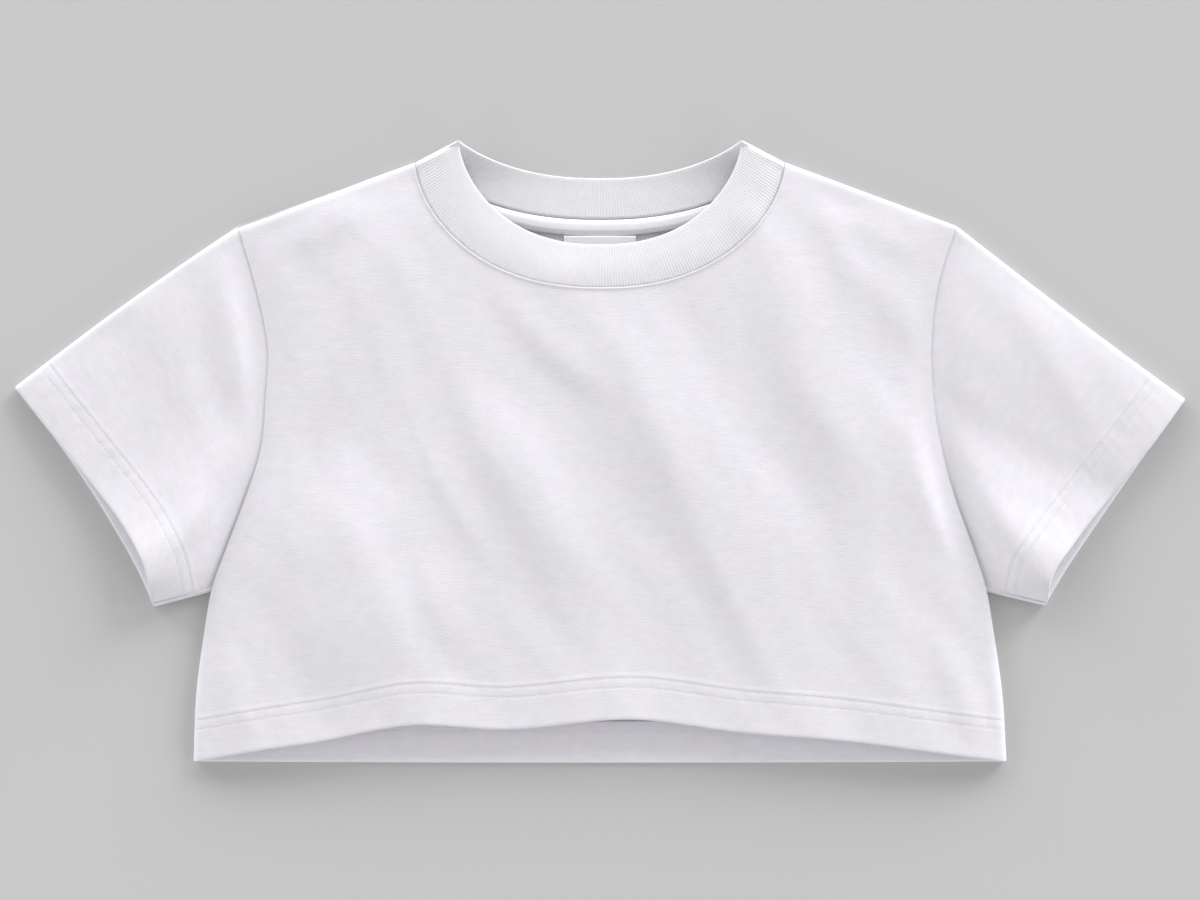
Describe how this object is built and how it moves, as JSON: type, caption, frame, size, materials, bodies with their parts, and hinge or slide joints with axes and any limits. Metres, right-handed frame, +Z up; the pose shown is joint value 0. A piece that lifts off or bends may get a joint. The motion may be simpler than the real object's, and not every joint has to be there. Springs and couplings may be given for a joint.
{
  "type": "cropped t-shirt laid flat",
  "caption": "Short-sleeved cropped T-shirt of heavy cotton jersey with a rib collar, lying flat on its back.",
  "frame": {"origin": "under the middle of the garment, on the surface it lies on", "axes": "+Z up out of the garment's front, +Y from the hem to the neck, +X to the right as seen from above"},
  "size_m": [0.7312, 0.3884, 0.0174],
  "materials": {
    "jersey": "matte",
    "rib": "matte",
    "tape": "matte",
    "label": "satin"
  },
  "bodies": {
    "root": {"front": "jersey", "back": "jersey", "sleeve_left": "jersey", "sleeve_right": "jersey", "neck_rib": "rib", "neck_tape": "tape", "neck_label": "label"}
  },
  "joints": []
}
